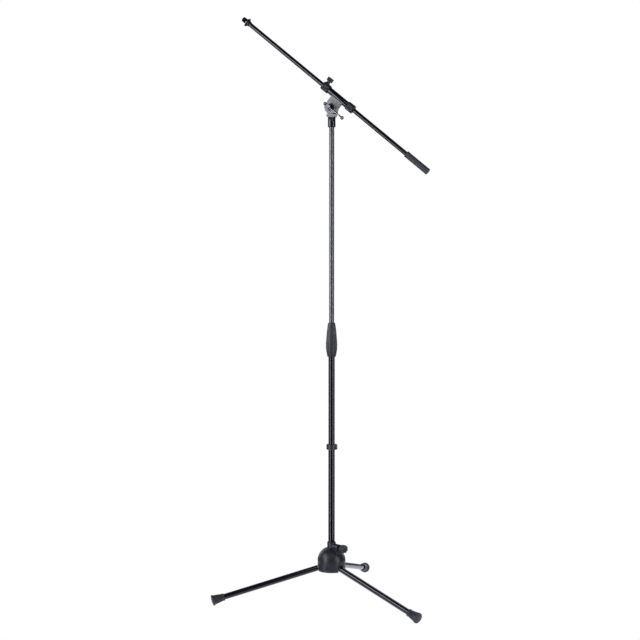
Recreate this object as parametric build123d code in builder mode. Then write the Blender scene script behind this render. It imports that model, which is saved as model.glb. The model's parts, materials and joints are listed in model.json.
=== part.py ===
from build123d import *
import os
from math import cos, radians, sin, tan

# A tripod microphone stand with a boom arm. Millimetres, +Z up. Everything is drawn round
# the mast, which stands on X = Y = 0 with the floor at Z = 0. The boom lies in the XZ plane
# with its microphone end towards -X, and the tilt screw points to -Y. At the very end each
# piece is moved so that the origin is on the floor in the middle of the footprint.

# Tubes
lower_radius = 10
lower_bore = 8.8
upper_radius = 8
upper_bore = 6.8
boom_radius = 7
boom_bore = 6
leg_radius = 9
leg_bore = 7.8
running = 0.05  # radial clearance of a part that turns or slides on another

# Legs: three, hinged on cross pins inside the base
leg_azimuths = (90, 210, 330)
leg_slope = 14.5
leg_pivot_radius = 31
foot_reach = 377
foot_radius = 17.3
foot_flat = 0.5
foot_length = 42
pin_radius = 2.5
spigot_length = 27
tube_end_gap = 8  # between the leg tube's end and the inside of the foot's sole
tongue_back = 13
tongue_front = 14
tongue_half_height = 6
tongue_half_width = 7
disc_radius = 21

# Base housing: a domed shell round the mast
dome_radius = 44
dome_wall = 3
dome_centre = 124
skirt_bottom = 93
collar_radius = 13.5
collar_top = 182
core_radius = 15.5
liner_radius = 11.45
core_bottom = 106
slot_half_width = leg_radius + 0.6
boss_azimuth = 330
boss_height = 169
boss_half_width = 10.5
boss_reach = 37
clamp_thread = 4
case_screw_radius = 2
case_screw_head = 5
case_screw_rise = 3  # height of the three case screws above the leg hinges
case_screw_start = 27

# Mast heights
lower_top = 804.5
clip_height = 483.5
grip_bottom = 766.5
grip_top = grip_bottom + 106
upper_bottom = grip_bottom - 17
neck_bottom = 1478.5
neck_top = neck_bottom + 31

# Tilt head and boom
pivot_height = neck_top + 30
boom_tilt = 39.3
boom_offset = 36.3
sleeve_shift = -2.3  # the sleeve's middle from the bracket's middle line, along the boom
bracket_plate = 14
knuckle_plate = 6
joint_depth = 4  # the friction disc's middle plane, behind the mast's axis
friction_half = 0.75
plate_gap = friction_half + running
bracket_radius = 20.8
knuckle_radius = 20.5
tilt_thread = 4
sleeve_radius = 10.5
sleeve_half = 60
bushing_radius = 13.5
bushing_length = 27
bushing_end = 64
tip_station = -385
weight_start = 280
weight_length = 89
weight_radius = 10.4
ring_thickness = 2.6
thread_relief = 0.5  # plain neck between the lock ring and the first turn of the thread
mic_thread_length = 17
mic_thread_radius = 7.94
boom_thread = 3

# Values that follow from those above
foot_height = foot_radius * cos(radians(leg_slope)) - foot_flat
leg_pivot_height = foot_height + (foot_reach - leg_pivot_radius) * tan(radians(leg_slope))
leg_length = (foot_reach - leg_pivot_radius) / cos(radians(leg_slope))
tongue_under_disc_edge = (leg_pivot_radius - disc_radius) * tan(radians(leg_slope))
tongue_under_disc_edge -= tongue_half_height / cos(radians(leg_slope))
disc_top = leg_pivot_height + tongue_under_disc_edge - 2 * running
along_x = cos(radians(boom_tilt))
along_z = -sin(radians(boom_tilt))
pivot = Vector(0, 0, pivot_height)
sleeve_centre = pivot + Vector(-along_z, 0, along_x) * boom_offset
sleeve_centre += Vector(along_x, 0, along_z) * sleeve_shift

# Planes: "boom_line" has its normal along the boom towards the counterweight; "side" is the
# plane of the tilt head with local X along the boom and its normal towards -Y; "upright" is
# the same plane with local X level.
boom_line = Plane(origin=sleeve_centre, x_dir=(0, 1, 0), z_dir=(along_x, 0, along_z))
boom_up = Plane(origin=sleeve_centre, x_dir=(0, 1, 0), z_dir=(-along_z, 0, along_x))
side = Plane(origin=pivot, x_dir=(along_x, 0, along_z), z_dir=(0, -1, 0))
upright = Plane(origin=pivot, x_dir=(1, 0, 0), z_dir=(0, -1, 0))

pieces = {}


def radial(azimuth, height):
    """A plane on the mast's axis whose normal points outwards at one azimuth."""
    angle = radians(azimuth)
    outwards = (cos(angle), sin(angle), 0)
    return Plane(origin=(0, 0, height), x_dir=(-sin(angle), cos(angle), 0), z_dir=outwards)


def leg_line(azimuth):
    """A plane at one leg's hinge whose normal points down the leg."""
    angle = radians(azimuth)
    slope = radians(leg_slope)
    hinge = (leg_pivot_radius * cos(angle), leg_pivot_radius * sin(angle), leg_pivot_height)
    down_leg = (cos(slope) * cos(angle), cos(slope) * sin(angle), -sin(slope))
    return Plane(origin=hinge, x_dir=(-sin(angle), cos(angle), 0), z_dir=down_leg)


# ---------------------------------------------------------------- base

# Domed outer casting with the tube collar, the clamp boss and the three leg slots
inside = dome_radius - dome_wall
roof_angle = radians(67)
roof_corner = (inside * cos(roof_angle), dome_centre + inside * sin(roof_angle))
roof_middle = (inside * cos(roof_angle / 2), dome_centre + inside * sin(roof_angle / 2))
case_screw_height = leg_pivot_height + case_screw_rise
case_screw_seat = dome_radius - 2
with BuildPart() as base_housing:
    with BuildSketch(Plane.XZ):
        with BuildLine():
            Line((0, skirt_bottom), (dome_radius, skirt_bottom))
            Line((dome_radius, skirt_bottom), (dome_radius, dome_centre))
            ThreePointArc(
                (dome_radius, dome_centre),
                (dome_radius * sin(radians(45)), dome_centre + dome_radius * sin(radians(45))),
                (0, dome_centre + dome_radius),
            )
            Line((0, dome_centre + dome_radius), (0, skirt_bottom))
        make_face()
    revolve(axis=Axis.Z)
    with BuildSketch(Plane.XY.offset(dome_centre)):
        Circle(collar_radius)
    extrude(amount=collar_top - dome_centre)
    with BuildSketch(radial(boss_azimuth, boss_height)):
        Circle(boss_half_width)
        with Locations((0, -boss_half_width)):
            Rectangle(2 * boss_half_width, 2 * boss_half_width)
    extrude(amount=boss_reach)
    rim = base_housing.edges().filter_by(GeomType.CIRCLE).group_by(Axis.Z)[0]
    fillet(rim, radius=dome_wall / 2)
    with BuildSketch(Plane.XZ):
        with BuildLine():
            Line((core_radius, skirt_bottom), (inside, skirt_bottom))
            Line((inside, skirt_bottom), (inside, dome_centre))
            ThreePointArc((inside, dome_centre), roof_middle, roof_corner)
            Line(roof_corner, (core_radius, roof_corner[1]))
            Line((core_radius, roof_corner[1]), (core_radius, skirt_bottom))
        make_face()
    revolve(axis=Axis.Z, mode=Mode.SUBTRACT)
    with BuildSketch(Plane.XY.offset(skirt_bottom)):
        Circle(core_radius + 1)
    extrude(amount=core_bottom - skirt_bottom, mode=Mode.SUBTRACT)
    with BuildSketch(Plane.XY.offset(skirt_bottom)):
        Circle(liner_radius)
    extrude(amount=collar_top - skirt_bottom, mode=Mode.SUBTRACT)
    for azimuth in leg_azimuths:
        with BuildSketch(radial(azimuth, leg_pivot_height).offset(core_radius + 5)):
            Circle(slot_half_width)
            with Locations((0, -slot_half_width)):
                Rectangle(2 * slot_half_width, 2 * slot_half_width)
        extrude(amount=dome_radius, mode=Mode.SUBTRACT)
    with BuildSketch(radial(boss_azimuth, boss_height)):
        Circle(clamp_thread + running)
    extrude(amount=boss_reach + 1, mode=Mode.SUBTRACT)
    for azimuth in leg_azimuths:
        with BuildSketch(radial(azimuth + 60, case_screw_height).offset(case_screw_seat)):
            Circle(case_screw_head + 0.8)
        extrude(amount=dome_wall, mode=Mode.SUBTRACT)
        with BuildSketch(radial(azimuth + 60, case_screw_height).offset(inside - 2)):
            Circle(case_screw_radius + 0.6)
        extrude(amount=dome_wall + 1, mode=Mode.SUBTRACT)
pieces["base_housing"] = base_housing

# Plastic liner that guides the lower tube, with a window for the clamp shoe
liner_flange = 1.2
liner_flange_radius = 12.8
with BuildPart() as tube_liner:
    with BuildSketch(Plane.XY.offset(core_bottom)):
        Circle(liner_radius)
    extrude(amount=collar_top - core_bottom)
    with BuildSketch(Plane.XY.offset(collar_top)):
        Circle(liner_flange_radius)
    extrude(amount=liner_flange)
    with BuildSketch(Plane.XY.offset(core_bottom)):
        Circle(lower_radius + running)
    extrude(amount=collar_top, mode=Mode.SUBTRACT)
    with BuildSketch(radial(boss_azimuth, boss_height)):
        Circle(clamp_thread + running)
    extrude(amount=collar_radius, mode=Mode.SUBTRACT)
pieces["tube_liner"] = tube_liner

# Die-cast spider inside the dome: three pairs of hinge ears and three screw blocks
ear_bottom = 97
ear_start = 22
ear_length = 16
ear_thickness = 4
web_bottom = 122
web_thickness = 8
web_radius = 37
block_start = 25
block_length = 15.4
block_width = 14
with BuildPart() as leg_carrier:
    with BuildSketch(Plane.XY.offset(web_bottom)):
        Circle(web_radius)
        Circle(core_radius + running, mode=Mode.SUBTRACT)
    extrude(amount=web_thickness)
    for azimuth in leg_azimuths:
        for across in (-1, 1):
            ear_middle = across * (slot_half_width + ear_thickness / 2)
            with BuildSketch(radial(azimuth, (ear_bottom + web_bottom) / 2).offset(ear_start)):
                with Locations((ear_middle, 0)):
                    Rectangle(ear_thickness, web_bottom - ear_bottom)
            extrude(amount=ear_length)
        with BuildSketch(radial(azimuth + 60, case_screw_height).offset(block_start)):
            Rectangle(block_width, 2 * (web_bottom - case_screw_height))
        extrude(amount=block_length)
    for azimuth in leg_azimuths:
        ear_plane = leg_line(azimuth)
        cross = Plane(origin=ear_plane.origin, x_dir=(0, 0, 1), z_dir=ear_plane.x_dir)
        with BuildSketch(cross):
            Circle(pin_radius)
        extrude(amount=2 * slot_half_width, both=True, mode=Mode.SUBTRACT)
        with BuildSketch(radial(azimuth + 60, case_screw_height).offset(block_start)):
            Circle(case_screw_radius)
        extrude(amount=inside, mode=Mode.SUBTRACT)
pieces["leg_carrier"] = leg_carrier

# Three pins that the legs hinge on
with BuildPart() as leg_pins:
    for azimuth in leg_azimuths:
        ear_plane = leg_line(azimuth)
        cross = Plane(origin=ear_plane.origin, x_dir=(0, 0, 1), z_dir=ear_plane.x_dir)
        with BuildSketch(cross):
            Circle(pin_radius)
        extrude(amount=slot_half_width + ear_thickness, both=True)
pieces["leg_pins"] = leg_pins

# Three screws with hexagon sockets that hold the spider in the dome
case_screw_key = 2.2
case_screw_head_height = 1.8
with BuildPart() as housing_screws:
    for azimuth in leg_azimuths:
        seat = radial(azimuth + 60, case_screw_height)
        with BuildSketch(seat.offset(case_screw_seat)):
            Circle(case_screw_head)
            RegularPolygon(case_screw_key, 6, mode=Mode.SUBTRACT)
        extrude(amount=case_screw_head_height)
        with BuildSketch(seat.offset(case_screw_start)):
            Circle(case_screw_radius)
        extrude(amount=case_screw_seat - case_screw_start)
pieces["housing_screws"] = housing_screws

# Clamp screw, its knob and the shoe it presses on the tube
shoe_thickness = 2
clamp_screw_start = lower_radius + shoe_thickness + 2 * running
clamp_screw_end = 58.1
base_knob_neck = 39
base_knob_neck_radius = 7
base_knob_start = 47
base_knob_length = 16
base_knob_radius = 12.5
with BuildPart() as base_clamp_screw:
    with BuildSketch(radial(boss_azimuth, boss_height).offset(clamp_screw_start)):
        Circle(clamp_thread)
    extrude(amount=clamp_screw_end - clamp_screw_start)
pieces["base_clamp_screw"] = base_clamp_screw

with BuildPart() as clamp_shoe:
    with BuildSketch(radial(boss_azimuth, boss_height).offset(lower_radius + running)):
        Circle(clamp_thread)
    extrude(amount=shoe_thickness)
    with BuildSketch(Plane.XY.offset(boss_height - 2 * clamp_thread)):
        Circle(lower_radius + running)
    extrude(amount=4 * clamp_thread, mode=Mode.SUBTRACT)
pieces["clamp_shoe"] = clamp_shoe

with BuildPart() as base_knob:
    with BuildSketch(radial(boss_azimuth, boss_height).offset(base_knob_neck)):
        Circle(base_knob_neck_radius)
    extrude(amount=base_knob_start - base_knob_neck)
    with BuildSketch(radial(boss_azimuth, boss_height).offset(base_knob_start)):
        Circle(base_knob_radius)
        with PolarLocations(base_knob_radius + 1.6, 8):
            Circle(3, mode=Mode.SUBTRACT)
    extrude(amount=base_knob_length)
    with BuildSketch(radial(boss_azimuth, boss_height)):
        Circle(clamp_thread)
    extrude(amount=clamp_screw_end, mode=Mode.SUBTRACT)
pieces["base_knob"] = base_knob

# ---------------------------------------------------------------- legs

for number, azimuth in enumerate(leg_azimuths, 1):
    line = leg_line(azimuth)
    cross = Plane(origin=line.origin, x_dir=(0, 0, 1), z_dir=line.x_dir)

    # Hinge tongue with a spigot inside the leg tube
    with BuildPart() as leg_knuckle:
        with BuildSketch(line.offset(-tongue_back)):
            Rectangle(2 * tongue_half_width, 2 * tongue_half_height)
        extrude(amount=tongue_back + tongue_front)
        with BuildSketch(line.offset(tongue_front)):
            Circle(leg_bore)
        extrude(amount=spigot_length)
        with BuildSketch(cross):
            Circle(pin_radius + running)
        extrude(amount=2 * tongue_half_width, both=True, mode=Mode.SUBTRACT)
    pieces[f"leg_knuckle_{number}"] = leg_knuckle

    with BuildPart() as leg_tube:
        with BuildSketch(line.offset(tongue_front)):
            Circle(leg_radius)
            Circle(leg_bore, mode=Mode.SUBTRACT)
        extrude(amount=leg_length - tongue_front - tube_end_gap)
    pieces[f"leg_tube_{number}"] = leg_tube

    # Rubber foot: a cone with a lipped, slightly domed end, resting on a small flat
    foot_wall = 1.4
    sole_rise = 3
    profile = Plane(origin=line.origin, x_dir=line.z_dir, z_dir=-line.x_dir)
    foot_start = leg_length - foot_length
    with BuildPart() as foot:
        with BuildSketch(profile):
            with BuildLine():
                Polyline(
                    (foot_start, leg_radius),
                    (foot_start, leg_radius + foot_wall),
                    (foot_start + 2, leg_radius + 2),
                    (leg_length - 11, foot_radius - 1.8),
                    (leg_length - 10, foot_radius),
                    (leg_length, foot_radius),
                )
                ThreePointArc(
                    (leg_length, foot_radius),
                    (leg_length + 0.8 * sole_rise, foot_radius / 2),
                    (leg_length + sole_rise, 0),
                )
                Polyline(
                    (leg_length + sole_rise, 0),
                    (leg_length - tube_end_gap, 0),
                    (leg_length - tube_end_gap, leg_radius),
                    (foot_start, leg_radius),
                )
            make_face()
        revolve(axis=Axis(line.origin, line.z_dir))
        split(bisect_by=Plane.XY, keep=Keep.TOP)
    pieces[f"foot_{number}"] = foot

# ---------------------------------------------------------------- lower mast

with BuildPart() as lower_tube:
    with BuildSketch(Plane.XY.offset(disc_top)):
        Circle(lower_radius)
        Circle(lower_bore, mode=Mode.SUBTRACT)
    extrude(amount=lower_top - disc_top)
pieces["lower_tube"] = lower_tube

# Plug in the tube's foot; its disc catches the inner ends of the opened legs
disc_thickness = 5
plug_length = 22
plug_screw_radius = 2.4
plug_screw_head = 4.8
with BuildPart() as end_plug:
    with BuildSketch(Plane.XY.offset(disc_top - disc_thickness)):
        Circle(disc_radius)
    extrude(amount=disc_thickness)
    chamfer(end_plug.edges(), length=0.8)
    with BuildSketch(Plane.XY.offset(disc_top)):
        Circle(lower_bore)
    extrude(amount=plug_length)
    with Locations(Plane.XY.offset(disc_top - disc_thickness)):
        with Locations(Location((0, 0, 0), (180, 0, 0))):
            CounterSinkHole(plug_screw_radius + 0.1, plug_screw_head + 0.2, depth=plug_length + 2)
pieces["end_plug"] = end_plug

with BuildPart() as end_plug_screw:
    with BuildSketch(Plane.XY.offset(disc_top - disc_thickness)):
        Circle(plug_screw_head)
    with BuildSketch(Plane.XY.offset(disc_top - disc_thickness + plug_screw_radius)):
        Circle(plug_screw_radius)
    loft()
    with BuildSketch(Plane.XY.offset(disc_top - disc_thickness + plug_screw_radius)):
        Circle(plug_screw_radius)
    extrude(amount=plug_length - 3)
pieces["end_plug_screw"] = end_plug_screw

# Clutch: a threaded collar on the tube's top, a slit collet and a twist grip
clutch_collar_radius = 12
collar_bottom = grip_bottom + 10
collet_bottom = grip_bottom + 63
collet_length = 24
collet_low_radius = 11.3
collet_high_radius = 9.8
with BuildPart() as clutch_collar:
    with BuildSketch(Plane.XY.offset(collar_bottom)):
        Circle(clutch_collar_radius)
        Circle(lower_radius, mode=Mode.SUBTRACT)
    extrude(amount=lower_top - collar_bottom)
    with BuildSketch(Plane.XY.offset(lower_top)):
        Circle(clutch_collar_radius)
        Circle(upper_radius + 0.4, mode=Mode.SUBTRACT)
    extrude(amount=collet_bottom - lower_top)
pieces["clutch_collar"] = clutch_collar

with BuildPart() as collet:
    with BuildSketch(Plane.XY.offset(collet_bottom)):
        Circle(collet_low_radius)
    with BuildSketch(Plane.XY.offset(collet_bottom + collet_length)):
        Circle(collet_high_radius)
    loft()
    with BuildSketch(Plane.XY.offset(collet_bottom)):
        Circle(upper_radius + running)
    extrude(amount=collet_length, mode=Mode.SUBTRACT)
    with BuildSketch(Plane.XY.offset(collet_bottom + 6)):
        with PolarLocations(10, 4):
            Rectangle(6, 1)
    extrude(amount=collet_length, mode=Mode.SUBTRACT)
pieces["collet"] = collet

grip_low_radius = 13.2
grip_high_radius = 10.8
grip_lip = 5
with BuildPart() as clutch_grip:
    with BuildSketch(Plane.XZ):
        with BuildLine():
            Line((0, grip_bottom), (grip_low_radius, grip_bottom))
            Spline(
                (grip_low_radius, grip_bottom),
                (14.7, grip_bottom + 8),
                (17, grip_bottom + 20.5),
                (18, grip_bottom + 36),
                (17, grip_bottom + 52),
                (15.6, grip_bottom + 70.5),
                (13.8, grip_bottom + 89.5),
                (grip_high_radius, grip_top),
            )
            Line((grip_high_radius, grip_top), (0, grip_top))
            Line((0, grip_top), (0, grip_bottom))
        make_face()
    revolve(axis=Axis.Z)
    with BuildSketch(Plane.XY.offset(grip_bottom)):
        Circle(lower_radius + 0.2)
    extrude(amount=grip_lip, mode=Mode.SUBTRACT)
    with BuildSketch(Plane.XY.offset(grip_bottom + grip_lip)):
        Circle(clutch_collar_radius + running)
    extrude(amount=collet_bottom - grip_bottom - grip_lip, mode=Mode.SUBTRACT)
    with BuildSketch(Plane.XY.offset(collet_bottom)):
        Circle(collet_low_radius + 0.2)
    with BuildSketch(Plane.XY.offset(collet_bottom + collet_length)):
        Circle(collet_high_radius + 0.2)
    loft(mode=Mode.SUBTRACT)
    with BuildSketch(Plane.XY.offset(collet_bottom)):
        Circle(upper_radius + 0.3)
    extrude(amount=grip_top - collet_bottom, mode=Mode.SUBTRACT)
pieces["clutch_grip"] = clutch_grip

# Split ring that holds the cable to the lower tube
clip_half = 8
clip_radius = 16.2
clip_lug_end = 18
clip_lug_width = 9
clip_gap = 1.6
with BuildPart() as cable_clip:
    with BuildSketch(Plane.XY.offset(clip_height - clip_half)):
        Circle(clip_radius)
        with Locations((clip_lug_end / 2, 0)):
            Rectangle(clip_lug_end, clip_lug_width)
    extrude(amount=2 * clip_half)
    chamfer(cable_clip.edges().group_by(Axis.Z)[0], length=1)
    chamfer(cable_clip.edges().group_by(Axis.Z)[-1], length=1)
    with BuildSketch(Plane.XY.offset(clip_height - clip_half)):
        Circle(lower_radius + running)
        with Locations((clip_lug_end / 2, 0)):
            Rectangle(clip_lug_end + 1, clip_gap)
    extrude(amount=2 * clip_half, mode=Mode.SUBTRACT)
pieces["cable_clip"] = cable_clip

# ---------------------------------------------------------------- upper mast

# Plastic cup on the inner tube's foot that guides it in the lower tube
cup_floor = 3
cup_length = 33
with BuildPart() as guide_bush:
    with BuildSketch(Plane.XY.offset(upper_bottom - cup_floor)):
        Circle(lower_bore - running)
        Circle(upper_bore - 0.8, mode=Mode.SUBTRACT)
    extrude(amount=cup_length)
    with BuildSketch(Plane.XY.offset(upper_bottom - running)):
        Circle(upper_radius + running)
    extrude(amount=cup_length, mode=Mode.SUBTRACT)
pieces["guide_bush"] = guide_bush

tube_top = neck_top - 12  # the spindle's shoulder and the neck sleeve cover the rest
with BuildPart() as upper_tube:
    with BuildSketch(Plane.XY.offset(upper_bottom)):
        Circle(upper_radius)
        Circle(upper_bore, mode=Mode.SUBTRACT)
    extrude(amount=tube_top - upper_bottom)
pieces["upper_tube"] = upper_tube

stud_radius = 4.75
stud_length = 18.5
spindle_plug_length = 30
spindle_shoulder = 5
with BuildPart() as top_spindle:
    with BuildSketch(Plane.XY.offset(tube_top - spindle_plug_length)):
        Circle(upper_bore)
    extrude(amount=spindle_plug_length)
    with BuildSketch(Plane.XY.offset(tube_top)):
        Circle(upper_radius)
    extrude(amount=spindle_shoulder)
    with BuildSketch(Plane.XY.offset(tube_top)):
        Circle(stud_radius)
    extrude(amount=stud_length)
pieces["top_spindle"] = top_spindle

neck_radius = 12
with BuildPart() as neck_sleeve:
    with BuildSketch(Plane.XY.offset(neck_bottom)):
        Circle(neck_radius)
    extrude(amount=neck_top - neck_bottom)
    fillet(neck_sleeve.edges().group_by(Axis.Z)[0], radius=2)
    chamfer(neck_sleeve.edges().group_by(Axis.Z)[-1], length=0.5)
    with BuildSketch(Plane.XY.offset(neck_bottom)):
        Circle(upper_radius)
    extrude(amount=tube_top + spindle_shoulder - neck_bottom, mode=Mode.SUBTRACT)
    with BuildSketch(Plane.XY.offset(neck_bottom)):
        Circle(stud_radius)
    extrude(amount=neck_top - neck_bottom, mode=Mode.SUBTRACT)
pieces["neck_sleeve"] = neck_sleeve

# ---------------------------------------------------------------- tilt head

# Lower half of the tilt joint: a neck block and a round plate behind the friction disc
face_y = bracket_plate + plate_gap - joint_depth
rear_y = knuckle_plate + plate_gap + joint_depth
neck_drop = neck_top - pivot_height
neck_half = 12.5
shoulder = -21.4
shoulder_half = 15
tangent_drop = -6
tangent_half = 19.6
hole_radius = tilt_thread + 2 * running
nut_flat = 6.5
nut_recess = 2.5
with BuildPart() as tilt_knuckle:
    with BuildSketch(upright.offset(-rear_y)):
        Circle(knuckle_radius)
        with BuildLine():
            Polyline(
                (-neck_half, neck_drop),
                (neck_half, neck_drop),
                (shoulder_half, shoulder),
                (tangent_half, tangent_drop),
                (-tangent_half, tangent_drop),
                (-shoulder_half, shoulder),
                (-neck_half, neck_drop),
            )
        make_face()
    extrude(amount=knuckle_plate)
    with BuildSketch(upright.offset(-rear_y)):
        with BuildLine():
            Polyline(
                (-neck_half, neck_drop),
                (neck_half, neck_drop),
                (shoulder_half, shoulder),
                (-shoulder_half, shoulder),
                (-neck_half, neck_drop),
            )
        make_face()
    extrude(amount=rear_y + face_y)
    with BuildSketch(upright.offset(-rear_y)):
        Circle(hole_radius)
    extrude(amount=knuckle_plate, mode=Mode.SUBTRACT)
    with BuildSketch(upright.offset(-rear_y)):
        RegularPolygon(nut_flat + 2 * running, 6, major_radius=False)
    extrude(amount=nut_recess, mode=Mode.SUBTRACT)
    with BuildSketch(Plane.XY.offset(neck_top)):
        Circle(stud_radius)
    extrude(amount=tube_top + stud_length - neck_top, mode=Mode.SUBTRACT)
pieces["tilt_knuckle"] = tilt_knuckle

with BuildPart() as friction_disc:
    with BuildSketch(upright.offset(-joint_depth - friction_half)):
        Circle(knuckle_radius - 2.5)
        Circle(hole_radius, mode=Mode.SUBTRACT)
    extrude(amount=2 * friction_half)
pieces["friction_disc"] = friction_disc

# Square-sided bracket with a round foot, welded under the boom's sleeve
bracket_top = boom_offset - 5
with BuildPart() as boom_bracket:
    with BuildSketch(side.offset(plate_gap - joint_depth)):
        Circle(bracket_radius)
        with Locations((0, bracket_top / 2)):
            Rectangle(2 * bracket_radius, bracket_top)
    extrude(amount=bracket_plate)
    bracket_front = boom_bracket.faces().sort_by(Axis.Y)[0]
    fillet(bracket_front.edges(), radius=0.8)
    with BuildSketch(boom_line.offset(-2 * sleeve_half)):
        Circle(sleeve_radius)
    extrude(amount=4 * sleeve_half, mode=Mode.SUBTRACT)
    with BuildSketch(side.offset(-joint_depth)):
        Circle(hole_radius)
    extrude(amount=2 * bracket_plate, mode=Mode.SUBTRACT)
pieces["boom_bracket"] = boom_bracket

# T-headed tilt screw, its washer and the nut behind the knuckle
washer_thickness = 2
head_start = 22
head_end = 43
bar_out = 36  # the tommy bar's distance in front of the mast's axis
head_radius = 6.7
screw_collar = 5.4
screw_tail = 3
bar_radius = 2.5
with BuildPart() as tilt_screw:
    with BuildSketch(side.offset(-rear_y - screw_tail)):
        Circle(tilt_thread)
    extrude(amount=rear_y + screw_tail + head_start)
    with BuildSketch(side.offset(face_y + washer_thickness + running)):
        Circle(screw_collar)
    extrude(amount=head_start - face_y - washer_thickness)
    with BuildSketch(side.offset(head_start)):
        Circle(head_radius)
    extrude(amount=head_end - head_start)
    chamfer(tilt_screw.faces().sort_by(Axis.Y)[0].edges(), length=0.8)
    bar_middle = pivot + Vector(0, -bar_out, 0)
    bore_line = Plane(origin=bar_middle, x_dir=(0, 1, 0), z_dir=(along_x, 0, along_z))
    with BuildSketch(bore_line):
        Circle(bar_radius + 2 * running)
    extrude(amount=2 * head_radius, both=True, mode=Mode.SUBTRACT)
pieces["tilt_screw"] = tilt_screw

washer_radius = 11
with BuildPart() as tilt_washer:
    with BuildSketch(side.offset(face_y + running)):
        Circle(washer_radius)
        Circle(hole_radius, mode=Mode.SUBTRACT)
    extrude(amount=washer_thickness - running)
pieces["tilt_washer"] = tilt_washer

nut_height = 6.5
with BuildPart() as tilt_nut:
    with BuildSketch(upright.offset(-rear_y - nut_height + nut_recess - running)):
        RegularPolygon(nut_flat, 6, major_radius=False)
        Circle(tilt_thread + running, mode=Mode.SUBTRACT)
    extrude(amount=nut_height)
pieces["tilt_nut"] = tilt_nut

# Tommy bar through the screw's head, slid down, with a ball on each end
ball_radius = 5.7
bar_up = -12.7
bar_down = 57.5
with BuildPart() as tommy_bar:
    with BuildSketch(bore_line.offset(bar_up)):
        Circle(bar_radius)
    extrude(amount=bar_down - bar_up)
pieces["tommy_bar"] = tommy_bar

with BuildPart() as bar_balls:
    for station in (bar_up, bar_down):
        with Locations(bore_line.offset(station)):
            Sphere(ball_radius)
    with BuildSketch(bore_line.offset(bar_up)):
        Circle(bar_radius)
    extrude(amount=bar_down - bar_up, mode=Mode.SUBTRACT)
pieces["bar_balls"] = bar_balls

# ---------------------------------------------------------------- boom holder

# Planes across the boom have local Y towards the microphone end
lock_station = bushing_end - 9
sleeve_bore = sleeve_radius - 1.5
with BuildPart() as boom_sleeve:
    with BuildSketch(boom_line.offset(-sleeve_half)):
        Circle(sleeve_radius)
        Circle(sleeve_bore, mode=Mode.SUBTRACT)
    extrude(amount=2 * sleeve_half)
    with BuildSketch(boom_up):
        with Locations((0, lock_station)):
            Circle(boom_thread + running)
    extrude(amount=2 * sleeve_radius, mode=Mode.SUBTRACT)
pieces["boom_sleeve"] = boom_sleeve

# Bushings on the sleeve's ends; the one at the microphone side carries the boom lock's lug
lug_radius = 6.5
lug_top = 17
for name, end in (("front_bushing", -1), ("rear_bushing", 1)):
    with BuildPart() as bushing:
        with BuildSketch(boom_line.offset(end * bushing_end)):
            Circle(bushing_radius)
        extrude(amount=-end * bushing_length)
        chamfer(bushing.edges().filter_by(GeomType.CIRCLE), length=1)
        if name == "front_bushing":
            with BuildSketch(boom_up.offset(boom_radius + 1)):
                with Locations((0, lock_station)):
                    Circle(lug_radius)
            extrude(amount=lug_top - boom_radius - 1)
            with BuildSketch(boom_up):
                with Locations((0, lock_station)):
                    Circle(boom_thread + running)
            extrude(amount=2 * bushing_radius, mode=Mode.SUBTRACT)
        with BuildSketch(boom_line.offset(end * sleeve_half)):
            Circle(sleeve_radius)
            Circle(sleeve_bore, mode=Mode.SUBTRACT)
        extrude(amount=-end * bushing_length, mode=Mode.SUBTRACT)
        with BuildSketch(boom_line.offset(end * bushing_end)):
            Circle(boom_radius + running)
        extrude(amount=-end * bushing_length, mode=Mode.SUBTRACT)
    pieces[name] = bushing

# Boom lock: a pad on the boom, a screw through the lug and a knob
pad_top = 9
with BuildPart() as boom_pad:
    with BuildSketch(boom_up):
        with Locations((0, lock_station)):
            Circle(boom_thread - 0.2)
    extrude(amount=pad_top)
    with BuildSketch(boom_line.offset(-bushing_end)):
        Circle(boom_radius + running)
    extrude(amount=bushing_length, mode=Mode.SUBTRACT)
pieces["boom_pad"] = boom_pad

knob_neck = 17.5
knob_neck_radius = 6
knob_start = 20
knob_end = 32
boom_screw_end = knob_end - 3
boom_knob_radius = 10.5
with BuildPart() as boom_screw:
    with BuildSketch(boom_up.offset(pad_top + running)):
        with Locations((0, lock_station)):
            Circle(boom_thread)
    extrude(amount=boom_screw_end - pad_top - running)
pieces["boom_screw"] = boom_screw

with BuildPart() as boom_knob:
    with BuildSketch(boom_up.offset(knob_neck)):
        with Locations((0, lock_station)):
            Circle(knob_neck_radius)
    extrude(amount=knob_start - knob_neck)
    with BuildSketch(boom_up.offset(knob_start)):
        with Locations((0, lock_station)):
            Circle(boom_knob_radius)
            with PolarLocations(boom_knob_radius + 0.4, 10):
                Circle(1.6, mode=Mode.SUBTRACT)
    extrude(amount=knob_end - knob_start)
    with BuildSketch(boom_up.offset(knob_neck)):
        with Locations((0, lock_station)):
            Circle(boom_thread)
    extrude(amount=boom_screw_end - knob_neck, mode=Mode.SUBTRACT)
pieces["boom_knob"] = boom_knob

# ---------------------------------------------------------------- boom

flare_length = 10
tube_start = tip_station + flare_length
tube_end = weight_start + weight_length - 12
with BuildPart() as boom_tube:
    with BuildSketch(boom_line.offset(tube_start)):
        Circle(boom_radius)
        Circle(boom_bore, mode=Mode.SUBTRACT)
    extrude(amount=tube_end - tube_start)
pieces["boom_tube"] = boom_tube

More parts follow.
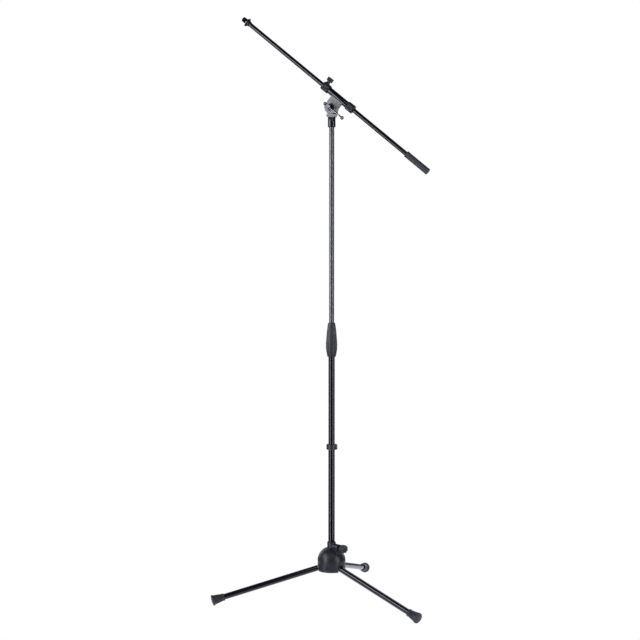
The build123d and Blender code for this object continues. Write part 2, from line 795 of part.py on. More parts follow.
# Microphone end: a flared plug in the tube, its thread and the lock ring round the thread
tip_flange = 2
tip_flange_radius = 9.6
ring_radius = 14.5
ring_bore = 7.5
tip_plug_length = 28
with BuildPart() as tip_adapter:
    with BuildSketch(boom_line.offset(tip_station)):
        Circle(tip_flange_radius)
    extrude(amount=tip_flange)
    with BuildSketch(boom_line.offset(tip_station + tip_flange)):
        Circle(tip_flange_radius)
    with BuildSketch(boom_line.offset(tube_start)):
        Circle(boom_radius + 0.4)
    loft()
    with BuildSketch(boom_line.offset(tube_start)):
        Circle(boom_bore)
    extrude(amount=tip_plug_length)
    with BuildSketch(boom_line.offset(tip_station)):
        Circle(ring_bore)
    extrude(amount=-ring_thickness - thread_relief)
    with BuildSketch(boom_line.offset(tip_station - ring_thickness - thread_relief)):
        Circle(mic_thread_radius)
    extrude(amount=-mic_thread_length)
    chamfer(tip_adapter.faces().sort_by(Axis.X)[0].edges(), length=0.8)
pieces["tip_adapter"] = tip_adapter

with BuildPart() as lock_ring:
    with BuildSketch(boom_line.offset(tip_station - running)):
        Circle(ring_radius)
    extrude(amount=-ring_thickness)
    chamfer(lock_ring.edges(), length=0.5)
    with BuildSketch(boom_line.offset(tip_station)):
        Circle(ring_bore + running)
    extrude(amount=-2 * ring_thickness, mode=Mode.SUBTRACT)
pieces["lock_ring"] = lock_ring

# Counterweight: a steel slug on the boom's end in a plastic cover
cover_wall = 1.4
cover_lip = 1
slug_beyond_tube = 9
with BuildPart() as counterweight:
    with BuildSketch(boom_line.offset(weight_start + cover_lip)):
        Circle(weight_radius - cover_wall)
        Circle(boom_radius, mode=Mode.SUBTRACT)
    extrude(amount=tube_end - weight_start - cover_lip)
    with BuildSketch(boom_line.offset(tube_end)):
        Circle(weight_radius - cover_wall)
    extrude(amount=slug_beyond_tube)
pieces["counterweight"] = counterweight

with BuildPart() as counterweight_cover:
    with BuildSketch(boom_line.offset(weight_start)):
        Circle(weight_radius)
    extrude(amount=weight_length)
    chamfer(counterweight_cover.edges().filter_by(GeomType.CIRCLE), length=0.9)
    with BuildSketch(boom_line.offset(weight_start + cover_lip)):
        Circle(weight_radius - cover_wall)
    extrude(amount=tube_end + slug_beyond_tube - weight_start - cover_lip, mode=Mode.SUBTRACT)
    with BuildSketch(boom_line.offset(weight_start)):
        Circle(boom_radius)
    extrude(amount=2 * cover_lip, mode=Mode.SUBTRACT)
pieces["counterweight_cover"] = counterweight_cover

# ---------------------------------------------------------------- output

# The legs reach furthest, so the feet alone give the middle of the footprint
feet = [pieces[f"foot_{number}"].part.bounding_box() for number in (1, 2, 3)]
middle_y = (max(box.max.Y for box in feet) + min(box.min.Y for box in feet)) / 2
to_footprint = Location((0, -middle_y, 0))

os.makedirs("parts", exist_ok=True)
for name, piece in pieces.items():
    placed = piece.part.moved(to_footprint)
    placed.label = name
    export_step(placed, f"parts/{name}.step")
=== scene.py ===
import json
from math import cos, pi, radians, sin, tau

import bpy
import numpy as np
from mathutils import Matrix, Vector


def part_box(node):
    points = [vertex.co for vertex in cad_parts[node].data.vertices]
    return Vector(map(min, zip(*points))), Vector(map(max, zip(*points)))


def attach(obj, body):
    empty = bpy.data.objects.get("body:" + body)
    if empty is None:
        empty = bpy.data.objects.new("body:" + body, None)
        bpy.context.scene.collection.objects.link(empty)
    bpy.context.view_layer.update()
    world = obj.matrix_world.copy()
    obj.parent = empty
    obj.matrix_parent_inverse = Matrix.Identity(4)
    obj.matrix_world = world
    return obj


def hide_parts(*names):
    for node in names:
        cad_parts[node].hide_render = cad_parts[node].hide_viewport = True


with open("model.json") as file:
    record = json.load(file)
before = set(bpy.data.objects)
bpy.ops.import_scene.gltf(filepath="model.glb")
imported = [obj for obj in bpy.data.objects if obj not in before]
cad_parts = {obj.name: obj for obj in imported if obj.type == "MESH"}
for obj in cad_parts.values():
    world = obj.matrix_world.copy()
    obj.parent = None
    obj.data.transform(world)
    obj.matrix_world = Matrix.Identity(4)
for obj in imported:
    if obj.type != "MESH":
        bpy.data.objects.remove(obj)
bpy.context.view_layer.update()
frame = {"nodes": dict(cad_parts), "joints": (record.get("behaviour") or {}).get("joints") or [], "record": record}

# The boom microphone stand's looks. Metres, in the frame's own axes. Turned pieces are built
# round lines that come from the frame's joints and from the boxes of its nodes.

MM = 0.001
joints = {joint["name"]: joint for joint in frame["joints"]}

# The camera's direction round the mast in degrees, 0 along -Y and + towards +X
VIEW_AZIMUTH = 17.617

# Radius of the boom's tip where the lock ring turns on it
TIP_NECK = 7.5 * MM

# Brightness of the room: behind the camera and at the sides, behind the object,
# of the floor in a reflection, and of everything round a matte surface
ROOM_FRONT = 0.01
ROOM_BACK = 0.8
FLOOR_MIRRORED = 1.1
ROOM_FILL = 0.25

BLACK = (0, 0, 0, 1)
WHITE = (1, 1, 1, 1)
DAYLIGHT = (0.93, 0.95, 1.08, 1)


# ---------------------------------------------------------------- places


class Line:
    """A straight line through a point, with two directions across it."""

    def __init__(self, origin, along, across_hint):
        self.origin = Vector(origin)
        self.along = Vector(along).normalized()
        across = Vector(across_hint)
        across -= self.along * across.dot(self.along)
        self.across = across.normalized()
        self.up = self.along.cross(self.across)

    def point(self, station, radius=0.0, angle=0.0):
        """A point at a station, out from the line at an angle counted from across."""
        outwards = self.across * cos(angle) + self.up * sin(angle)
        return self.origin + self.along * station + outwards * radius

    def station(self, position):
        return (Vector(position) - self.origin).dot(self.along)


def vertices_of(node):
    """A node's vertices as an array with one row each."""
    mesh = frame["nodes"][node].data
    places = np.zeros(len(mesh.vertices) * 3, np.float32)
    mesh.vertices.foreach_get("co", places)
    return places.reshape(-1, 3).astype(float)


def span(node, line):
    """Lowest station, highest station and largest radius of a node about a line."""
    offsets = vertices_of(node) - np.array(line.origin)
    stations = offsets @ np.array(line.along)
    outwards = offsets - np.outer(stations, np.array(line.along))
    return stations.min(), stations.max(), np.linalg.norm(outwards, axis=1).max()


def long_axis(node):
    """The middle of a long node and the direction it runs in."""
    places = vertices_of(node)
    low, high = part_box(node)
    middle = (low + high) / 2
    direction = np.linalg.svd(places - places.mean(0), full_matrices=False)[2][0]
    return middle, Vector(direction)


def mast_line():
    """The mast's line, with station 0 on the floor and +station upwards."""
    low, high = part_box("lower_tube")
    middle = (low + high) / 2
    return Line((middle.x, middle.y, 0), (0, 0, 1), (1, 0, 0))


def boom_line():
    """The boom's line, with station 0 at the middle of its sleeve and +station to the weight."""
    low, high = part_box("boom_sleeve")
    return Line((low + high) / 2, joints["boom_slide"]["axis"], (0, -1, 0))


def leg_line(number):
    """One leg's line from its hinge to its foot."""
    hinge = Vector(joints[f"leg_{number}_fold"]["pos_m"])
    middle, direction = long_axis(f"leg_tube_{number}")
    if direction.dot(middle - hinge) < 0:
        direction = -direction
    return Line(hinge, direction, joints[f"leg_{number}_fold"]["axis"])


def joint_line(name, across_hint):
    """The line of a joint's axis."""
    joint = joints[name]
    return Line(joint["pos_m"], joint["axis"], across_hint)


# ---------------------------------------------------------------- mesh tools


def softened(points, size, steps=3, closed=False):
    """The outline with each corner replaced by a small curve that starts size before it."""
    points = [Vector(p) for p in points]
    count = len(points)
    largest_share = 0.45
    result = []
    for index, corner in enumerate(points):
        if not closed and index in (0, count - 1):
            result.append(corner)
            continue
        before = points[index - 1] - corner
        after = points[(index + 1) % count] - corner
        start = corner + before.normalized() * min(size, before.length * largest_share)
        end = corner + after.normalized() * min(size, after.length * largest_share)
        for step in range(steps + 1):
            t = step / steps
            result.append(start * (1 - t) ** 2 + corner * 2 * t * (1 - t) + end * t * t)
    return result


def divided(points, size, closed=False):
    """The outline with points added on its straights, about size apart."""
    following = points[1:] + points[:1] if closed else points[1:]
    result = []
    for first, second in zip(points, following):
        steps = max(1, int((second - first).length / size))
        for step in range(steps):
            result.append(first.lerp(second, step / steps))
    if not closed:
        result.append(points[-1])
    return result


def mesh_piece(name, points, faces, body, smooth_angle=38):
    """A named mesh that rides on a body, smooth except across sharp edges."""
    mesh = bpy.data.meshes.new(name)
    mesh.from_pydata([tuple(p) for p in points], [], faces)
    mesh.validate()
    piece = bpy.data.objects.new(name, mesh)
    bpy.context.scene.collection.objects.link(piece)
    mesh.polygons.foreach_set("use_smooth", [True] * len(mesh.polygons))
    mesh.set_sharp_from_angle(angle=radians(smooth_angle))
    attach(piece, body)
    return piece


def turned(name, line, outline, body, segments=96, shape=None, closed=False, smooth_angle=38):
    """A piece turned round a line from an outline of (station, radius) points.

    shape(angle, station, radius) may change a radius. A closed outline gives a hollow piece;
    an open one starts and ends on the line.
    """
    on_the_line = 0.0001 * MM
    points = []
    rings = []
    for station, radius in outline:
        if radius < on_the_line:
            rings.append([len(points)])
            points.append(line.point(station))
            continue
        ring = []
        for segment in range(segments):
            angle = tau * segment / segments
            out = shape(angle, station, radius) if shape else radius
            ring.append(len(points))
            points.append(line.point(station, out, angle))
        rings.append(ring)
    faces = []
    ring_pairs = list(zip(rings, rings[1:]))
    if closed:
        ring_pairs.append((rings[-1], rings[0]))
    for first, second in ring_pairs:
        if len(first) == 1 and len(second) == 1:
            continue
        for segment in range(segments):
            following = (segment + 1) % segments
            if len(first) == 1:
                faces.append((first[0], second[following], second[segment]))
            elif len(second) == 1:
                faces.append((first[segment], first[following], second[0]))
            else:
                faces.append((first[segment], first[following], second[following], second[segment]))
    piece = mesh_piece(name, points, faces, body, smooth_angle)
    face_outwards(piece)
    return piece


def face_outwards(piece):
    """Turns every face of a closed mesh so that its volume is positive."""
    mesh = piece.data
    volume = 0.0
    for face in mesh.polygons:
        corners = [mesh.vertices[i].co for i in face.vertices]
        for a, b in zip(corners[1:], corners[2:]):
            volume += corners[0].dot(a.cross(b))
    if volume < 0:
        mesh.flip_normals()


def extruded(name, line, outline, start, end, body, rounding):
    """A closed outline of (across, up) points swept along a line, with rounded edges."""
    points = []
    for station in (start, end):
        for across, up in outline:
            points.append(line.point(station) + line.across * across + line.up * up)
    count = len(outline)
    faces = [tuple(range(count))[::-1], tuple(range(count, 2 * count))]
    for index in range(count):
        following = (index + 1) % count
        faces.append((index, following, count + following, count + index))
    piece = mesh_piece(name, points, faces, body)
    face_outwards(piece)
    rounded_edges(piece, rounding, 3, 40)
    return piece


def rounded_edges(piece, width, segments, sharpest):
    """A bevel on the edges where two faces turn by more than the sharpest angle, in degrees."""
    modifier = piece.modifiers.new("rounded_edges", "BEVEL")
    modifier.width = width
    modifier.segments = segments
    modifier.limit_method = "ANGLE"
    modifier.angle_limit = radians(sharpest)


def smooth_step(value, low, high):
    """0 below low, 1 above high, and a smooth rise between them."""
    t = min(1.0, max(0.0, (value - low) / (high - low)))
    return t * t * (3 - 2 * t)


def window(value, low, high, edge):
    """1 between low and high, 0 outside, with soft edges."""
    return smooth_step(value, low - edge, low) * (1 - smooth_step(value, high, high + edge))


# ---------------------------------------------------------------- materials


class Nodes:
    """A material's node tree with a shader, and short ways to add to it."""

    def __init__(self, name):
        self.material = bpy.data.materials.new(name)
        self.material.use_nodes = True
        self.tree = self.material.node_tree
        self.shader = self.tree.nodes["Principled BSDF"]
        self.place = self.tree.nodes.new("ShaderNodeTexCoord").outputs["Object"]

    def set(self, **values):
        """Fixed values for the shader's inputs, with _ for each space in a name."""
        for key, value in values.items():
            self.shader.inputs[key.replace("_", " ")].default_value = value

    def join(self, source, target):
        self.tree.links.new(source, target)

    def drive(self, name, source):
        """Lets a source control one of the shader's inputs."""
        self.join(source, self.shader.inputs[name])

    def noise(self, scale, detail=3.0, stretch=(1, 1, 1)):
        """Soft random values round 0.5 that vary over the piece."""
        mapping = self.tree.nodes.new("ShaderNodeMapping")
        mapping.inputs["Scale"].default_value = stretch
        self.join(self.place, mapping.inputs["Vector"])
        noise = self.tree.nodes.new("ShaderNodeTexNoise")
        noise.inputs["Scale"].default_value = scale
        noise.inputs["Detail"].default_value = detail
        self.join(mapping.outputs["Vector"], noise.inputs["Vector"])
        return noise.outputs["Fac"]

    def ranged(self, source, low, high, from_low=0.3, from_high=0.7):
        """A source's range stretched to another, clamped at both ends."""
        ramp = self.tree.nodes.new("ShaderNodeMapRange")
        ramp.inputs["From Min"].default_value = from_low
        ramp.inputs["From Max"].default_value = from_high
        ramp.inputs["To Min"].default_value = low
        ramp.inputs["To Max"].default_value = high
        self.join(source, ramp.inputs["Value"])
        return ramp.outputs["Result"]

    def mixed(self, factor, first, second):
        """A blend of two colours, each of them fixed or from a source."""
        mix = self.tree.nodes.new("ShaderNodeMix")
        mix.data_type = "RGBA"
        self.join(factor, mix.inputs["Factor"])
        for value, socket in ((first, mix.inputs["A"]), (second, mix.inputs["B"])):
            if isinstance(value, tuple):
                socket.default_value = value
            else:
                self.join(value, socket)
        return mix.outputs["Result"]

    def maths(self, operation, *sources):
        """A sum or product of values, or a vector's length."""
        kind = "ShaderNodeVectorMath" if operation == "LENGTH" else "ShaderNodeMath"
        node = self.tree.nodes.new(kind)
        node.operation = operation
        for source, socket in zip(sources, node.inputs):
            self.join(source, socket)
        return node.outputs["Value"]

    def bumped(self, source, height, strength):
        """A surface direction that follows a source's small heights."""
        bump = self.tree.nodes.new("ShaderNodeBump")
        bump.inputs["Distance"].default_value = height
        bump.inputs["Strength"].default_value = strength
        self.join(source, bump.inputs["Height"])
        return bump.outputs["Normal"]

    def edges(self, radius):
        """0 on open faces, 1 on convex and concave edges, found with a rounded normal."""
        least_turn = 0.02
        full_turn = 0.12
        rounded = self.tree.nodes.new("ShaderNodeBevel")
        rounded.samples = 4
        rounded.inputs["Radius"].default_value = radius
        geometry = self.tree.nodes.new("ShaderNodeNewGeometry")
        dot = self.tree.nodes.new("ShaderNodeVectorMath")
        dot.operation = "DOT_PRODUCT"
        self.join(rounded.outputs["Normal"], dot.inputs[0])
        self.join(geometry.outputs["Normal"], dot.inputs[1])
        return self.ranged(dot.outputs["Value"], 1.0, 0.0, 1 - full_turn, 1 - least_turn)


def shade(colour, factor):
    """A colour made darker or lighter, with its alpha."""
    return tuple(channel * factor for channel in colour) + (1.0,)


def tube_black():
    """Gloss enamel: a dark base under a clear coat with faint orange peel and handling marks."""
    nodes = Nodes("tube_black")
    nodes.set(Coat_Weight=0.8, Coat_Roughness=0.035, Specular_IOR_Level=0.15)
    colour = (0.005, 0.005, 0.006)
    roughness = 0.22
    cloud = nodes.noise(22.0, 4.0)
    nodes.drive("Base Color", nodes.mixed(cloud, shade(colour, 0.8), shade(colour, 1.25)))
    smear = nodes.noise(60.0, 5.0, (1, 1, 0.15))
    nodes.drive("Roughness", nodes.ranged(smear, roughness * 0.8, roughness * 1.35))
    peel = nodes.noise(260.0, 2.0)
    nodes.drive("Normal", nodes.bumped(peel, 0.006 * MM, 0.5))
    return nodes.material


def tube_grey():
    """Satin grey mast tube: a metallic lacquer over drawn steel."""
    nodes = Nodes("tube_grey")
    nodes.set(Metallic=0.75, Coat_Weight=0.2, Coat_Roughness=0.2)
    colour = (0.11, 0.11, 0.112)
    cloud = nodes.noise(18.0, 4.0)
    nodes.drive("Base Color", nodes.mixed(cloud, shade(colour, 0.85), shade(colour, 1.12)))
    drawn = nodes.noise(900.0, 3.0, (1, 1, 0.02))
    nodes.drive("Roughness", nodes.ranged(drawn, 0.32, 0.38))
    nodes.drive("Normal", nodes.bumped(drawn, 0.004 * MM, 0.4))
    return nodes.material


def painted_casting():
    """Satin pewter paint on a zinc casting, rubbed bright on its edges."""
    nodes = Nodes("zinc_painted")
    nodes.set(Metallic=0.85, Specular_IOR_Level=0.5)
    colour = (0.245, 0.242, 0.236)
    cloud = nodes.noise(55.0, 4.0)
    paint_coat = nodes.mixed(cloud, shade(colour, 0.9), shade(colour, 1.1))
    rubbed = nodes.ranged(nodes.edges(0.8 * MM), 0.0, 0.5, 0.35, 1.0)
    nodes.drive("Base Color", nodes.mixed(rubbed, paint_coat, shade(colour, 1.8)))
    nodes.drive("Roughness", nodes.ranged(nodes.noise(160.0, 4.0), 0.33, 0.41))
    nodes.drive("Normal", nodes.bumped(nodes.noise(1400.0, 3.0), 0.03 * MM, 0.5))
    return nodes.material


def moulded(name, colour, roughness, edge=0.6 * MM, grain=2200.0, depth=0.06 * MM):
    """Moulded plastic or rubber: a fine grain, with edges rubbed slightly pale."""
    nodes = Nodes(name)
    nodes.set(Specular_IOR_Level=0.45)
    cloud = nodes.noise(35.0, 4.0)
    base = nodes.mixed(cloud, shade(colour, 0.85), shade(colour, 1.2))
    rubbed = nodes.ranged(nodes.edges(edge), 0.0, 0.25, 0.0, 1.0)
    nodes.drive("Base Color", nodes.mixed(rubbed, base, shade(colour, 2.2)))
    patch = nodes.noise(90.0, 5.0)
    nodes.drive("Roughness", nodes.ranged(patch, roughness * 0.85, roughness * 1.15))
    nodes.drive("Normal", nodes.bumped(nodes.noise(grain, 2.0), depth, 0.7))
    return nodes.material


def metal(name, colour, roughness, grain=700.0, depth=0.02 * MM):
    """Bare or plated metal with a fine grain and uneven shine."""
    nodes = Nodes(name)
    nodes.set(Metallic=1.0)
    cloud = nodes.noise(40.0, 4.0)
    nodes.drive("Base Color", nodes.mixed(cloud, shade(colour, 0.82), shade(colour, 1.1)))
    scratches = nodes.noise(grain, 4.0)
    nodes.drive("Roughness", nodes.ranged(scratches, roughness * 0.75, roughness * 1.3))
    nodes.drive("Normal", nodes.bumped(scratches, depth, 0.5))
    return nodes.material


# Plastics and rubbers: colour, roughness, width of the rubbed edges, grain and its depth
MOULDED = {
    "housing_plastic": ((0.0145, 0.0147, 0.0162), 0.4, 0.5 * MM),
    "liner_nylon": ((0.02, 0.02, 0.022), 0.4, 0.6 * MM, 900.0),
    "foot_rubber": ((0.022, 0.022, 0.0245), 0.4, 0.4 * MM, 1500.0, 0.05 * MM),
    "grip_rubber": ((0.03, 0.03, 0.033), 0.42, 0.4 * MM, 1800.0),
    "knob_plastic": ((0.03, 0.031, 0.034), 0.36, 0.4 * MM),
    "bushing_plastic": ((0.014, 0.0145, 0.016), 0.25, 0.3 * MM),
    "friction_fibre": ((0.07, 0.06, 0.05), 0.8, 0.6 * MM, 900.0, 0.2 * MM),
    "weight_plastic": ((0.035, 0.0355, 0.04), 0.5, 0.4 * MM, 1900.0),
}
# Metals: colour, roughness, grain and its depth
METAL = {
    "zinc_casting": ((0.4, 0.4, 0.41), 0.5, 400.0, 0.1 * MM),
    "steel_bright": ((0.52, 0.52, 0.52), 0.32),
    "chrome": ((0.25, 0.25, 0.255), 0.16, 300.0, 0.005 * MM),
    "stud_black": ((0.05, 0.05, 0.053), 0.35, 500.0),
}
PAINTED = {
    "zinc_painted": painted_casting,
    "tube_black": tube_black,
    "tube_grey": tube_grey,
}
made_materials = {}


def material(slot):
    """The material of one of the record's slots, made when it is first asked for."""
    if slot not in made_materials:
        if slot in PAINTED:
            made_materials[slot] = PAINTED[slot]()
        elif slot in METAL:
            made_materials[slot] = metal(slot, *METAL[slot])
        else:
            made_materials[slot] = moulded(slot, *MOULDED[slot])
    return made_materials[slot]


def paint(piece, slot):
    """Gives a new piece its material and names the record's slot."""
    piece.data.materials.clear()
    piece.data.materials.append(material(slot))


def paint_cad_nodes():
    """Gives each node of the frame the material of its slot."""
    for part in frame["record"]["subparts"]:
        node = frame["nodes"].get(part["node"])
        if node is None:
            continue
        for index in range(max(1, len(node.material_slots))):
            if index < len(node.material_slots):
                node.material_slots[index].material = material(part["material_slot"])
            else:
                node.data.materials.append(material(part["material_slot"]))


# ---------------------------------------------------------------- pieces


def clutch_grip(line):
    """Twist grip: a long swelling sleeve with soft finger flutes that fade at both ends."""
    low, high, widest = span("clutch_grip", line)
    length = high - low
    bore_low = span("lower_tube", line)[2] + 0.2 * MM
    bore_high = span("upper_tube", line)[2] + 0.3 * MM
    top_wall = high - 12 * MM
    bottom_wall = low + 5 * MM
    # Shares of the grip's length and of its largest radius
    swell = (
        (0.0, 0.70), (0.03, 0.775), (0.08, 0.83), (0.14, 0.90), (0.21, 0.955), (0.28, 0.99),
        (0.34, 1.0), (0.41, 0.985), (0.50, 0.94), (0.60, 0.895), (0.70, 0.85), (0.79, 0.79),
        (0.87, 0.73), (0.93, 0.69), (0.97, 0.655), (1.0, 0.58),
    )
    outer = [(low + share * length, widest * width) for share, width in swell]
    inner = [
        (high, bore_high),
        (top_wall, bore_high),
        (top_wall, bore_high + 2 * MM),
        (bottom_wall, bore_low + 1.9 * MM),
        (bottom_wall, bore_low),
        (low, bore_low),
    ]
    flutes = 10
    depth = 0.9 * MM
    inside_radius = widest * 0.62

    def fluted(angle, station, radius):
        share = (station - low) / length
        fade = smooth_step(share, 0.1, 0.24) * (1 - smooth_step(share, 0.78, 0.93))
        if radius < inside_radius:
            return radius
        return radius - depth * fade * (0.5 + 0.5 * cos(flutes * angle)) ** 2

    outline = softened(outer, 2.2 * MM, 2) + inner
    piece = turned("clutch_grip_skin", line, outline, "clutch", 160, fluted, closed=True)
    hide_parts("clutch_grip")
    paint(piece, "grip_rubber")


def rubber_foot(number):
    """Rubber foot: a stout collar, a flared body with pressed windows, a groove and a sole."""
    line = leg_line(number)
    node_start, end, widest = span(f"foot_{number}", line)
    tube = span(f"leg_tube_{number}", line)[2]
    start = node_start + 4.5 * MM
    length = end - start
    tube_end = end - 11 * MM
    collar = tube + 3.0 * MM
    sole = widest - 0.6 * MM
    groove = sole - 2.9 * MM
    outline = [
        (start, tube),
        (start, collar - 0.4 * MM),
        (start + 2.2 * MM, collar),
        (start + 2.8 * MM, collar - 0.9 * MM),
        (start + 0.24 * length, collar - 0.3 * MM),
        (end - 11.5 * MM, sole - 2.0 * MM),
        (end - 11.0 * MM, groove),
        (end - 9.6 * MM, groove),
        (end - 9.1 * MM, sole - 1.0 * MM),
        (end - 4.5 * MM, sole),
        (end - 2.0 * MM, sole - 0.2 * MM),
        (end - 1.2 * MM, sole * 0.86),
        (end - 1.6 * MM, sole * 0.8),
        (end, sole * 0.3),
        (end, 0.0),
    ]
    windows = 10
    depth = 1.5 * MM
    floor_level = 0.05 * MM

    def pressed(angle, station, radius):
        inside = window(station, start + 0.27 * length, end - 14.5 * MM, 0.7 * MM)
        across = 0.5 + 0.5 * cos(windows * angle)
        return radius - depth * inside * smooth_step(across, 0.42, 0.56)

    outside = divided(softened(outline, 0.5 * MM, 2), 0.7 * MM)
    socket = [(tube_end, 0.0), (tube_end, tube)]
    name = f"rubber_foot_{number}"
    piece = turned(name, line, outside + socket, f"leg_{number}", 160, pressed, closed=True)
    for vertex in piece.data.vertices:
        vertex.co.z = max(vertex.co.z, floor_level)
    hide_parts(f"foot_{number}")
    paint(piece, "foot_rubber")


def lobed_knob(name, line, start, end, radius, lobes, depth, power, body, bore):
    """A knob with rounded lobes, a dished face and a flat face to its neck."""
    middle = (start + end) / 2
    dish = end - 1.0 * MM
    hole_end = end - 3 * MM
    outline = [
        (start, bore),
        (start, radius - 0.6 * MM),
        (start + 0.6 * MM, radius),
        (middle, radius + 0.15 * MM),
        (end - 0.6 * MM, radius),
        (end, radius - 1.0 * MM),
        (end - 0.1 * MM, radius * 0.62),
        (dish, radius * 0.55),
        (dish, 0.0),
    ]

    def lobed(angle, station, out):
        dent = (0.5 + 0.5 * cos(lobes * angle)) ** power
        return out - depth * dent * smooth_step(out, radius * 0.66, radius * 0.92)

    outside = divided(softened(outline, 0.9 * MM, 4), 0.9 * MM)
    hole = [(hole_end, 0.0), (hole_end, bore)]
    piece = turned(name, line, outside + hole, body, lobes * 20, lobed, closed=True)
    paint(piece, "knob_plastic")
    return piece


def knob_neck(name, line, outline, softness, body, segments):
    """The plain neck between a knob and its screw's boss."""
    soft = softened(outline, softness, 3, closed=True)
    neck = turned(name, line, soft, body, segments, closed=True)
    paint(neck, "knob_plastic")


def base_knob():
    """Clamp knob at the base, with eight deep lobes."""
    body = "base_clamp"
    line = joint_line("base_clamp_turn", (0, 0, 1))
    start, end, radius = span("base_knob", line)
    screw = span("base_clamp_screw", line)[2]
    face = start + 8 * MM
    knob = lobed_knob("base_knob_grip", line, face, end, radius, 8, 2.1 * MM, 3, body, screw)
    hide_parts("base_knob")
    sunk = face + 0.2 * MM
    neck = [
        (start, screw),
        (start, 6.2 * MM),
        (start + 1 * MM, 6.8 * MM),
        (face - 2 * MM, 7.2 * MM),
        (sunk, 8.6 * MM),
        (sunk, screw),
    ]
    knob_neck("base_knob_neck", line, neck, 0.5 * MM, body, 64)


def boom_knob():
    """Small knob of the boom lock, with ten shallow lobes."""
    body = "boom_lock"
    line = joint_line("boom_lock_turn", (0, 1, 0))
    start, end, radius = span("boom_knob", line)
    screw = span("boom_screw", line)[2]
    face = start + 3 * MM
    knob = lobed_knob("boom_knob_grip", line, face, end, radius, 10, 1.2 * MM, 4, body, screw)
    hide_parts("boom_knob")
    sunk = face + 0.2 * MM
    neck = [
        (start, screw),
        (start, 5.6 * MM),
        (sunk, 6.2 * MM),
        (sunk, screw),
    ]
    knob_neck("boom_knob_neck", line, neck, 0.4 * MM, body, 48)


def bushing(name, line, way):
    """Ribbed end bushing: a cap over the sleeve's end with a plain rim at each edge.

    way is +1 or -1, the way the cap's outer end points along the line.
    """
    start, end, _ = span(name, line)
    # The front node is wider, because it also holds the lock's lug
    radius = span("rear_bushing", line)[2]
    sleeve = span("boom_sleeve", line)[2]
    tube = span("boom_tube", line)[2] + 0.1 * MM
    outer_end, inner_end = (end, start) if way > 0 else (start, end)
    length = abs(outer_end - inner_end)
    sleeve_end = outer_end - way * 4 * MM
    outline = [
        (outer_end, tube),
        (outer_end, radius - 1.2 * MM),
        (outer_end - way * 1.2 * MM, radius - 0.1 * MM),
        (outer_end - way * 4.5 * MM, radius),
        (inner_end + way * 2.5 * MM, radius - 0.3 * MM),
        (inner_end, radius - 1.3 * MM),
        (inner_end, sleeve),
        (sleeve_end, sleeve),
        (sleeve_end, tube),
    ]
    ribs = 26
    depth = 0.75 * MM

    def ribbed(angle, station, out):
        share = abs(station - outer_end) / length
        on_the_rim = smooth_step(out, sleeve + 0.8 * MM, radius - 0.9 * MM)
        inside = window(share, 0.2, 0.86, 0.04) * on_the_rim
        return out - depth * inside * (0.5 - 0.5 * cos(ribs * angle)) ** 0.6

    outside = divided(softened(outline, 0.5 * MM, 3, closed=True), 0.8 * MM, closed=True)
    piece = turned(f"{name}_cap", line, outside, "boom_holder", ribs * 8, ribbed, closed=True)
    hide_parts(name)
    paint(piece, "bushing_plastic")


def lock_lug(boom):
    """The round lug on the front bushing that carries the boom lock's screw."""
    line = joint_line("boom_lock_turn", (0, 1, 0))
    sleeve = span("boom_sleeve", boom)[2]
    screw = span("boom_screw", line)[2] + 0.1 * MM
    top = span("boom_knob", line)[0] - 0.5 * MM
    foot = line.station(boom.origin) + sleeve + 1.0 * MM
    outline = [
        (foot, screw),
        (foot, 7.6 * MM),
        (foot + 2.4 * MM, 6.9 * MM),
        (top, 6.3 * MM),
        (top, screw),
    ]
    soft = softened(outline, 0.5 * MM, 3, closed=True)
    piece = turned("boom_lock_lug", line, soft, "boom_holder", 64, closed=True)
    paint(piece, "bushing_plastic")


def thread_radius():
    """The microphone thread's outer radius, from the record's mount."""
    mounts = {mount["name"]: mount for mount in frame["record"]["mounts"]}
    return mounts["mic_thread"]["dims"]["r_mm"] * MM


def tip_adapter(line):
    """Flared plug with the microphone thread cut as a real helix."""
    start, plug_end, _ = span("tip_adapter", line)
    ring_low, ring_high, _ = span("lock_ring", line)
    tube_start, _, tube = span("boom_tube", line)
    major = thread_radius()
    pitch = 25.4 / 27 * MM
    depth = 0.55 * MM
    lead_in = 1.2 * MM
    plug = 6.0 * MM
    flange = 9.6 * MM
    rings_per_pitch = 8
    finish = ring_low - 0.5 * MM
    steps = int((finish - start) / pitch * rings_per_pitch)
    outline = [(start, 0.0), (start, major - 1.6 * MM)]
    for step in range(steps):
        outline.append((start + 0.05 * MM + (finish - start) * step / steps, major))
    outline += [
        (ring_low - 0.1 * MM, TIP_NECK),
        (ring_high, TIP_NECK),
        (ring_high + 0.05 * MM, flange - 0.3 * MM),
        (ring_high + 0.4 * MM, flange),
        (ring_high + 2.2 * MM, flange),
        (tube_start - 0.6 * MM, tube + 0.9 * MM),
        (tube_start, tube + 0.4 * MM),
        (tube_start, plug),
        (plug_end, plug),
        (plug_end, 0.0),
    ]

    def cut(angle, station, radius):
        if radius < major - 0.01 * MM or station > finish:
            return radius
        phase = (station / pitch - angle / tau) % 1.0
        flank = abs(2 * phase - 1)
        taper = smooth_step(station - start, 0.0, lead_in)
        return radius - depth * flank - (1 - taper) * 0.8 * MM

    piece = turned("tip_plug", line, outline, "boom", 72, cut, smooth_angle=50)
    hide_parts("tip_adapter")
    paint(piece, "stud_black")


